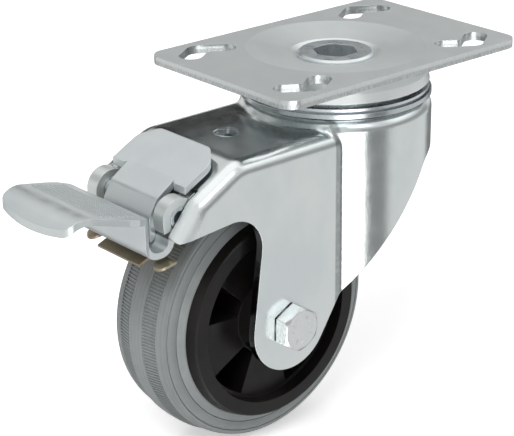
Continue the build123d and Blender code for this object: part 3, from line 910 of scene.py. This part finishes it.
@dataclass
class SwivelHead:
    """Mounting plate, kingpin, races, seal and the two rows of balls."""

    shop: Workshop
    rows: tuple[BallRow, ...] = (
        BallRow("upper_balls", "bearing_balls_upper", count=24, radius=4.0 * MM, pitch=34.0 * MM),
        BallRow("lower_balls", "bearing_balls_lower", count=20, radius=3.0 * MM, pitch=21.0 * MM))
    ball_cuts: int = 4

    def build(self) -> None:
        """Dress the nodes and set the balls."""
        dress = self.shop.dress
        # painted shade: wall_roughness makes the plate's faces that do not look up full metal,
        # which darkens its underside
        dress(ZincFinish("plate_zinc", light=(0.635, 0.665, 0.66), shade=(0.605, 0.64, 0.64),
                         metallic=0.75, roughness=0.40, wall_roughness=0.27, unevenness=0.015,
                         grain=0.25, edge=0.25 * MM, sheared=ShearedEdge()), "top_plate")
        # painted light: the upper race sits in the plate's shade, so its copy of the plating is
        # lighter and less metallic to brighten it
        dress(ZincFinish("race_zinc_painted_light", light=(0.78, 0.80, 0.80), shade=(0.72, 0.75, 0.75),
                         metallic=0.5, roughness=0.34), "upper_race")
        dress(ZincFinish("seat_zinc", light=(0.50, 0.53, 0.54), shade=(0.44, 0.475, 0.49),
                         roughness=0.24), "lower_race")
        dress(ZincFinish(), "lower_cup")
        dress(ZincFinish("kingpin_zinc", metallic=0.8, roughness=0.32), "kingpin")
        dress(ZincFinish("seal_zinc", roughness=0.3, edge=0.2 * MM), "dust_seal")
        for row in self.rows:
            self.shop.piece(row.name, self.row_mesh(row), Body.FORK, Slot.STEEL, (row.node,))

    def row_mesh(self, row: BallRow) -> bpy.types.Mesh:
        """Set one row of balls round the swivel axis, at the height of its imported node.

        Args:
            row: the row.

        Returns:
            The mesh of all its balls.
        """
        low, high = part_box(row.node)
        rule = Repeater(row.name + "_rule", Count="Int", Ball="Float", Radius="Float",
                        Height="Float", Finish="Material")
        points, turn = rule.turned_points(0.0)
        ball = rule.node("GeometryNodeMeshIcoSphere", {
            "Radius": rule.given["Ball"], "Subdivisions": self.ball_cuts}).outputs[0]
        lift = rule.vector(z=rule.given["Height"])
        level = (math.pi / 2, 0.0, 0.0)
        rule.finish(rule.moved(rule.set_on(points, ball, turn), lift, level), True)
        return rule.mesh(row.name, Count=row.count, Ball=row.radius, Radius=row.pitch,
                         Height=(low.z + high.z) / 2, Finish=self.shop.material(BallSteelFinish()))


@dataclass
class Housing:
    """The pressed fork with what is fixed to it."""

    shop: Workshop
    bend_x: float = -30.4 * MM
    strap_x: float = -113.0 * MM

    def build(self) -> None:
        """Dress the nodes."""
        # painted shade: the fork's plating carries a dark streak along the bend at bend_x, standing
        # in for the shade in the crease between leg and drum
        self.shop.dress(ZincFinish("fork_zinc", light=(0.625, 0.66, 0.65),
                                   shade=(0.565, 0.605, 0.61), roughness=0.18, unevenness=0.03,
                                   grain=0.75, crease_shade=CreaseShadePaint(self.bend_x),
                                   satin=SatinEnd(self.strap_x)), "fork")
        self.shop.dress(ZincFinish(), "nose_rivet", "hinge_pin")


@dataclass
class BrakeGear:
    """Locking flap, pedal and the leaf spring."""

    shop: Workshop
    ribs: int = 8
    first_rib: Point = (-139.0 * MM, 0.0, -40.65 * MM)
    pitch: float = 2.3 * MM
    tread_rise: float = math.radians(14.2)
    rib_size: Point = (1.1 * MM, 51.0 * MM, 0.9 * MM)
    rib_taper: Span = (0.6, 0.02)
    trim_low: Point = (-118.6 * MM, 15.1 * MM, -90.0 * MM)
    trim_high: Point = (-80.0 * MM, 40.0 * MM, -45.0 * MM)
    bend_start: Point = (-98.0 * MM, 0.0, -50.0 * MM)
    bend_end: Point = (-121.0 * MM, 0.0, -66.0 * MM)
    bend_cuts: int = 14

    def build(self) -> None:
        """Dress the nodes, trim the leaf and rib the tread."""
        cool = ZincFinish("brake_zinc", light=(0.60, 0.635, 0.64), shade=(0.565, 0.605, 0.615),
                          metallic=0.7, roughness=0.34)
        self.shop.dress(cool, "brake_lever", "brake_pedal")
        leaf = self.shop.piece("leaf_spring", self.leaf_mesh(), None, Slot.SPRING,
                               ("brake_spring",))
        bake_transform(leaf)
        ribs = self.rib_mesh(self.shop.material(cool))
        self.shop.piece("pedal_ribs", ribs, Body.BRAKE, Slot.ZINC)

    def leaf_mesh(self) -> bpy.types.Mesh:
        """Make the leaf spring, cut finely enough to bend.

        Returns:
            A closed mesh.
        """
        shape = bmesh.new()
        shape.from_mesh(self.trimmed_leaf())
        first, last = self.bend_end[0], self.bend_start[0]
        for index in range(self.bend_cuts + 1):
            place = first + (last - first) * index / self.bend_cuts
            bmesh.ops.bisect_plane(shape, geom=[*shape.verts, *shape.edges, *shape.faces],
                                   dist=CUT_REACH, plane_co=(place, 0.0, 0.0),
                                   plane_no=(1.0, 0.0, 0.0))
        made = mesh_from(shape, "leaf_spring")
        made.materials.clear()
        made.materials.append(self.shop.material(SpringFinish()))
        shade_smooth(made)
        return made

    def trimmed_leaf(self) -> bpy.types.Mesh:
        """Make the leaf narrow as far as the hook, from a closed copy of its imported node.

        Returns:
            A closed mesh.
        """
        shape = bmesh.new()
        shape.from_mesh(self.shop.nodes["brake_spring"].data)
        bmesh.ops.remove_doubles(shape, verts=shape.verts, dist=WELD_REACH)
        holder = bpy.data.objects.new("leaf_rule", mesh_from(shape, "leaf_whole"))
        cutters = [self.cutter(side) for side in (-1.0, 1.0)]
        for made in (holder, *cutters):
            bpy.context.scene.collection.objects.link(made)
        for cutter in cutters:
            modifier = holder.modifiers.new("trim", "BOOLEAN")
            modifier.operation = "DIFFERENCE"
            modifier.object = cutter
        depsgraph = bpy.context.evaluated_depsgraph_get()
        trimmed = bpy.data.meshes.new_from_object(holder.evaluated_get(depsgraph))
        for made in (holder, *cutters):
            bpy.data.objects.remove(made)
        return trimmed

    def cutter(self, side: float) -> bpy.types.Object:
        """Make the block that trims the leaf on one side, behind the hook.

        Args:
            side: 1 or -1, along Y.

        Returns:
            The block.
        """
        shape = bmesh.new()
        bmesh.ops.create_cube(shape, size=1.0)
        low, high = Vector(self.trim_low), Vector(self.trim_high)
        low.y, high.y = sorted((side * low.y, side * high.y))
        for corner in shape.verts:
            corner.co = Vector([low[k] + (high[k] - low[k]) * (corner.co[k] + 0.5)
                                for k in range(3)])
        return bpy.data.objects.new("leaf_cutter", mesh_from(shape, "leaf_cutter"))

    def rib_mesh(self, zinc: bpy.types.Material) -> bpy.types.Mesh:
        """Make the low ribs pressed up across the rear of the tread.

        Args:
            zinc: the pedal's material.

        Returns:
            The mesh of all the ribs.
        """
        rule = Repeater("pedal_rib_rule", Count="Int", First="Vector", Step="Vector",
                        Size="Vector", Tilt="Float", Finish="Material")
        given = rule.given
        line = rule.node("GeometryNodeMeshLine", {
            "Count": given["Count"], "Start Location": given["First"],
            "Offset": given["Step"]}, mode="OFFSET").outputs[0]
        turn = rule.vector(y=given["Tilt"])
        rule.finish(rule.set_on(line, rule.tapered_bar(*self.rib_taper), turn), False)
        step = (-self.pitch * math.cos(self.tread_rise), 0.0,
                self.pitch * math.sin(self.tread_rise))
        return rule.mesh("pedal_ribs", Count=self.ribs, First=self.first_rib, Step=step,
                         Size=self.rib_size, Tilt=self.tread_rise, Finish=zinc)


@dataclass
class AxleSet:
    """Bolt, nut, washer and the tube that they clamp."""

    shop: Workshop
    marks: int = 12
    mark_radius: float = 5.9 * MM
    mark_size: Point = (0.55 * MM, 0.3 * MM, 1.9 * MM)

    def build(self) -> None:
        """Dress the nodes and mark the bolt's head."""
        bright = ZincFinish("bolt_zinc", light=(0.68, 0.69, 0.68), shade=(0.61, 0.63, 0.63),
                            roughness=0.24, forged=0.5)
        self.shop.dress(bright, "axle_bolt", "axle_nut", "nut_washer")
        self.shop.dress(BallSteelFinish(), "axle_tube")
        marks = self.mark_mesh(self.shop.material(bright))
        self.shop.piece("head_marks", marks, Body.FORK, Slot.ZINC)

    def mark_mesh(self, zinc: bpy.types.Material) -> bpy.types.Mesh:
        """Make plain raised strokes round the face of the bolt's head.

        Args:
            zinc: the bolt's material.

        Returns:
            The mesh of all the strokes.
        """
        rule = Repeater("head_mark_rule", Count="Int", Radius="Float", Across="Float",
                        Size="Vector", Axle="Vector", Finish="Material")
        points, turn = rule.turned_points(rule.given["Across"])
        ring = rule.set_on(points, rule.bar(), turn)
        rule.finish(rule.moved(ring, rule.given["Axle"]), False)
        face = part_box("axle_bolt")[0].y
        return rule.mesh("head_marks", Count=self.marks, Radius=self.mark_radius, Across=face,
                         Size=self.mark_size, Axle=AXLE, Finish=zinc)


@dataclass
class Wheel:
    """Rubber tyre, moulded rim and the roller bearing.

    The points of the outline are in millimetres: how far out from the tyre's half width or from
    the rim's, and how far in from the tyre's radius or out from the rim's edge.
    """

    shop: Workshop
    radius: float = 62.5 * MM
    half_tyre: float = 17.5 * MM
    half_rim: float = 19.8 * MM
    rim_seat: float = 46.0 * MM
    rim_edge: float = 49.1 * MM
    crown_fall: float = 0.0104
    band_inner: float = 4.6 * MM
    band_outer: float = 12.8 * MM
    band_depth: float = 0.7 * MM
    band_wall: float = 0.25 * MM
    shoulder: tuple[Span, ...] = ((-2.2, 2.1), (-0.9, 2.5), (-0.2, 3.2))
    upper_groove: tuple[Span, ...] = (
        (0.0, 4.35), (-0.15, 4.55), (-0.9, 4.7), (-0.15, 4.85), (0.0, 5.1))
    lower_groove: tuple[Span, ...] = (
        (0.7, 9.0), (0.6, 9.25), (-0.1, 9.4), (0.6, 9.55), (0.8, 9.8))
    rim_lip: tuple[Span, ...] = ((-0.5, 0.9), (-0.1, 0.5), (0.0, 0.0))
    steps: int = 192
    ribs: int = 240
    rib_share: float = 0.55
    rib_taper: float = 0.35
    rib_root: float = 0.5 * MM
    rib_drop: float = 0.1 * MM
    rib_play: float = 0.1 * MM

    def build(self) -> None:
        """Make the tyre with its ribs and dress the nodes."""
        self.shop.dress(MouldedFinish(), "wheel_rim")
        self.shop.dress(MouldedFinish("cage_moulding", colour=(0.05, 0.05, 0.05),
                                      worn=(0.08, 0.08, 0.08)), "roller_cage")
        self.shop.dress(BallSteelFinish(), "rollers")
        rubber = self.shop.material(RubberFinish())
        body = turned_mesh("tyre_body", self.profile(), self.steps)
        body.materials.append(rubber)
        self.shop.piece("tyre_body", body, Body.WHEEL, Slot.RUBBER, ("tyre",))
        self.shop.piece("tyre_ribs", self.rib_mesh(rubber), Body.WHEEL, Slot.RUBBER)

    def crown(self, across: float) -> float:
        """Return the radius of the crowned tread at a distance from the middle."""
        return self.radius - self.crown_fall * across * across / MM

    def profile(self) -> list[Span]:
        """Work out the closed outline of the tyre's section.

        Returns:
            (across, radius) points.
        """
        inner, outer, wall = self.band_inner, self.band_outer, self.band_wall
        middle = (inner + outer) / 2
        half = [(across, self.crown(across)) for across in (0.0, inner / 2, inner)]
        half += [(across, self.crown(under) - self.band_depth) for across, under in
                 ((inner + wall, inner), (middle, middle), (outer - wall, outer))]
        half.append((outer, self.crown(outer)))
        half += [(self.half_tyre + out * MM, self.radius - down * MM)
                 for out, down in (*self.shoulder, *self.upper_groove, *self.lower_groove)]
        half += [(self.half_rim + out * MM, self.rim_edge + up * MM) for out, up in self.rim_lip]
        half.append((self.half_rim, self.rim_seat))
        return half + [(-across, radius) for across, radius in reversed(half) if across > 0.0]

    def rib_mesh(self, rubber: bpy.types.Material) -> bpy.types.Mesh:
        """Make the cross ribs in the two sunk bands of the tread.

        Args:
            rubber: the tyre's material.

        Returns:
            The mesh of both bands.
        """
        rule = Repeater("tread_rib_rule", Count="Int", Radius="Float", Across="Float",
                        Size="Vector", Tilt="Float", Axle="Vector", Finish="Material")
        rib = rule.tapered_bar(self.rib_taper)
        both = rule.node("GeometryNodeJoinGeometry")
        for side in (1.0, -1.0):
            points, turn = rule.turned_points(rule.times(rule.given["Across"], side))
            lean = rule.vector(x=rule.times(rule.given["Tilt"], -side))
            rule.feed(both.inputs[0], rule.set_on(points, rule.moved(rib, turn=lean), turn))
        rule.finish(rule.moved(both.outputs[0], rule.given["Axle"]), False)
        inner, outer = self.crown(self.band_inner), self.crown(self.band_outer)
        length = self.band_outer - self.band_inner
        width = self.rib_share * 2 * math.pi * self.radius / self.ribs
        height = self.band_depth + self.rib_root
        return rule.mesh("tyre_ribs", Count=self.ribs,
                         Radius=(inner + outer) / 2 - height / 2 - self.rib_drop,
                         Across=(self.band_inner + self.band_outer) / 2,
                         Size=(width, length - self.rib_play, height),
                         Tilt=math.atan2(inner - outer, length), Axle=AXLE, Finish=rubber)


# ---- studio ----------------------------------------------------------------------------------
@dataclass(frozen=True)
class Lamp:
    """One soft square lamp of the studio."""

    name: str
    place: Point
    size: float
    power: float

    def build(self, aim: Point) -> None:
        """Hang the lamp.

        Args:
            aim: the place that it points at.
        """
        light = bpy.data.lights.new(self.name, "AREA")
        light.shape = "SQUARE"
        light.size = self.size
        light.energy = self.power
        lamp = bpy.data.objects.new(self.name, light)
        lamp.location = self.place
        way = Vector(aim) - Vector(self.place)
        lamp.rotation_euler = way.to_track_quat("-Z", "Y").to_euler()
        lamp.visible_camera = False
        lamp.visible_glossy = False
        bpy.context.scene.collection.objects.link(lamp)


@dataclass(frozen=True)
class Panel:
    """A soft-edged part of the tent, lighter or darker than the rest. Angles are in degrees."""

    turn: float
    turn_half: float
    rise: float
    rise_half: float
    soft: float
    tone: float

    def share(self, graph: Graph, turn: Socket, rise: Socket) -> Socket:
        """Work out how much of the panel a direction sees.

        Args:
            graph: the world's graph.
            turn: the direction's angle round Z.
            rise: the direction's angle above the horizon.

        Returns:
            A share from 0 to 1.
        """
        round_z = graph.minus(turn, math.radians(self.turn))
        across = graph.math("WRAP", round_z, math.pi, -math.pi)
        up = graph.minus(rise, math.radians(self.rise))
        shares = []
        for away, half in ((across, self.turn_half), (up, self.rise_half)):
            edge = (math.radians(half - self.soft), math.radians(half + self.soft))
            shares.append(graph.ramp(graph.math("ABSOLUTE", away), edge, (1.0, 0.0)))
        return graph.times(*shares)


@dataclass
class Studio:
    """Floor, daylight tent, lamps and camera."""

    floor_height: float
    floor_reach: float = 6.0
    floor_colour: Colour = (0.80, 0.80, 0.80)
    floor_roughness: float = 0.9
    floor_glow: float = 0.45
    camera_place: Point = (-0.5543, -0.5898, 0.2421)
    camera_turn: float = math.radians(-40.59)
    camera_pitch: float = math.radians(22.09)
    camera_roll: float = math.radians(-0.55)
    camera_clip: Span = (0.01, 100.0)
    sensor_mm: float = 36.0
    focal_px: float = 1810.4
    width_px: float = 514.0
    ambient: float = 0.55
    tent_tone: float = 0.93
    panels: tuple[Panel, ...] = (
        Panel(turn=-50, turn_half=60, rise=6, rise_half=11, soft=5, tone=0.45),
        Panel(turn=-5, turn_half=50, rise=45, rise_half=18, soft=8, tone=1.55),
        Panel(turn=-98, turn_half=14, rise=46, rise_half=10, soft=5, tone=3.0),
        Panel(turn=130, turn_half=25, rise=30, rise_half=14, soft=6, tone=0.25),
        Panel(turn=55, turn_half=38, rise=22, rise_half=11, soft=5, tone=0.03),
        Panel(turn=0, turn_half=181, rise=80, rise_half=18, soft=8, tone=1.5),
        Panel(turn=53, turn_half=46, rise=-46, rise_half=40, soft=6, tone=0.25),
        Panel(turn=-83, turn_half=15, rise=-30, rise_half=26, soft=6, tone=0.36),
        Panel(turn=-115, turn_half=15, rise=-45, rise_half=40, soft=4, tone=4.4))
    lamp_aim: Point = (-0.03, 0.0, -0.08)
    lamps: tuple[Lamp, ...] = (
        Lamp("key", (-0.9, -0.5, 1.3), size=0.9, power=19.0),
        Lamp("fill", (0.9, -1.2, 0.5), size=0.8, power=1.5),
        Lamp("back", (0.6, 1.3, 1.0), size=1.0, power=7.0))

    def build(self) -> None:
        """Set the whole studio up."""
        bpy.context.scene.view_settings.view_transform = "Standard"
        self.floor()
        self.tent()
        for lamp in self.lamps:
            lamp.build(self.lamp_aim)
        self.camera()

    def seen(self, graph: Graph) -> Socket:
        """Tell the rays from the camera, a mirror or glass from the rest.

        Args:
            graph: the graph that asks.

        Returns:
            1 for those rays and 0 for the rest.
        """
        path = graph.node("ShaderNodeLightPath").outputs
        first = graph.math("MAXIMUM", path["Is Camera Ray"], path["Is Glossy Ray"])
        return graph.math("MAXIMUM", first, path["Is Transmission Ray"])

    def floor(self) -> None:
        """Lay the pale floor."""
        mesh = bpy.data.meshes.new("floor")
        reach, z = self.floor_reach, self.floor_height
        corners = [(-reach, -reach, z), (reach, -reach, z), (reach, reach, z), (-reach, reach, z)]
        mesh.from_pydata(corners, [], [(0, 1, 2, 3)])
        floor = bpy.data.objects.new("floor", mesh)
        bpy.context.scene.collection.objects.link(floor)
        paint = Paint("floor_paint")
        paint.fill(paint.shader, {
            "Base Color": self.floor_colour, "Roughness": self.floor_roughness,
            "Specular IOR Level": 0.0, "Emission Color": WHITE,
            "Emission Strength": paint.times(self.seen(paint), self.floor_glow)})
        mesh.materials.append(paint.material)
        floor.visible_glossy = False
        floor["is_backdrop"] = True

    def tent(self) -> None:
        """Make the surround: white to the camera, and soft panels that the metal mirrors."""
        world = bpy.data.worlds.new("tent")
        bpy.context.scene.world = world
        world.use_nodes = True
        graph = Graph(world.node_tree)
        path = graph.node("ShaderNodeLightPath").outputs
        extra = graph.times(path["Is Camera Ray"], 1.0 - self.ambient)
        plain = graph.times(graph.add(self.ambient, extra),
                            graph.minus(1.0, path["Is Glossy Ray"]))
        shown = graph.times(self.mirrored(graph), path["Is Glossy Ray"])
        sky = graph.node("ShaderNodeBackground",
                         {"Color": WHITE, "Strength": graph.add(plain, shown)})
        graph.node("ShaderNodeOutputWorld", {"Surface": sky.outputs[0]})

    def mirrored(self, graph: Graph) -> Socket:
        """Work out what a mirror sees: the tent's plain tone with its panels laid over it.

        Args:
            graph: the world's graph.

        Returns:
            The brightness.
        """
        way = graph.node("ShaderNodeTexCoord").outputs["Generated"]
        turn = graph.math("ARCTAN2", graph.part(way, Axis.Y), graph.part(way, Axis.X))
        rise = graph.math("ARCSINE", graph.part(way, Axis.Z))
        tone: Value = self.tent_tone
        for panel in self.panels:
            more = graph.times(panel.share(graph, turn, rise), graph.minus(panel.tone, tone))
            tone = graph.add(tone, more)
        return tone

    def camera(self) -> None:
        """Set the camera up."""
        turn, pitch, roll = self.camera_turn, self.camera_pitch, self.camera_roll
        back = Vector((math.sin(turn) * math.cos(pitch), -math.cos(turn) * math.cos(pitch),
                       math.sin(pitch)))
        right = Vector((math.cos(turn), math.sin(turn), 0.0))
        up = back.cross(right)
        side = math.cos(roll) * right + math.sin(roll) * up
        top = -math.sin(roll) * right + math.cos(roll) * up
        lens = bpy.data.cameras.new("camera")
        lens.sensor_width = self.sensor_mm
        lens.lens = self.focal_px * self.sensor_mm / self.width_px
        lens.clip_start, lens.clip_end = self.camera_clip
        camera = bpy.data.objects.new("camera", lens)
        camera.matrix_world = Matrix((
            (side.x, top.x, back.x, self.camera_place[0]),
            (side.y, top.y, back.y, self.camera_place[1]),
            (side.z, top.z, back.z, self.camera_place[2]),
            (0.0, 0.0, 0.0, 1.0)))
        bpy.context.scene.collection.objects.link(camera)
        bpy.context.scene.camera = camera


def main() -> None:
    """Build the castor's looks and the studio round it."""
    logging.basicConfig(level=logging.INFO, format="%(message)s")
    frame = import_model()
    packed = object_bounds()
    shop = Workshop(frame)
    for assembly in (SwivelHead(shop), Housing(shop), BrakeGear(shop), AxleSet(shop), Wheel(shop)):
        assembly.build()
        LOG.info("%s is done", type(assembly).__name__)
    Studio(floor_height=packed[0].z).build()


if __name__ == "__main__":
    main()
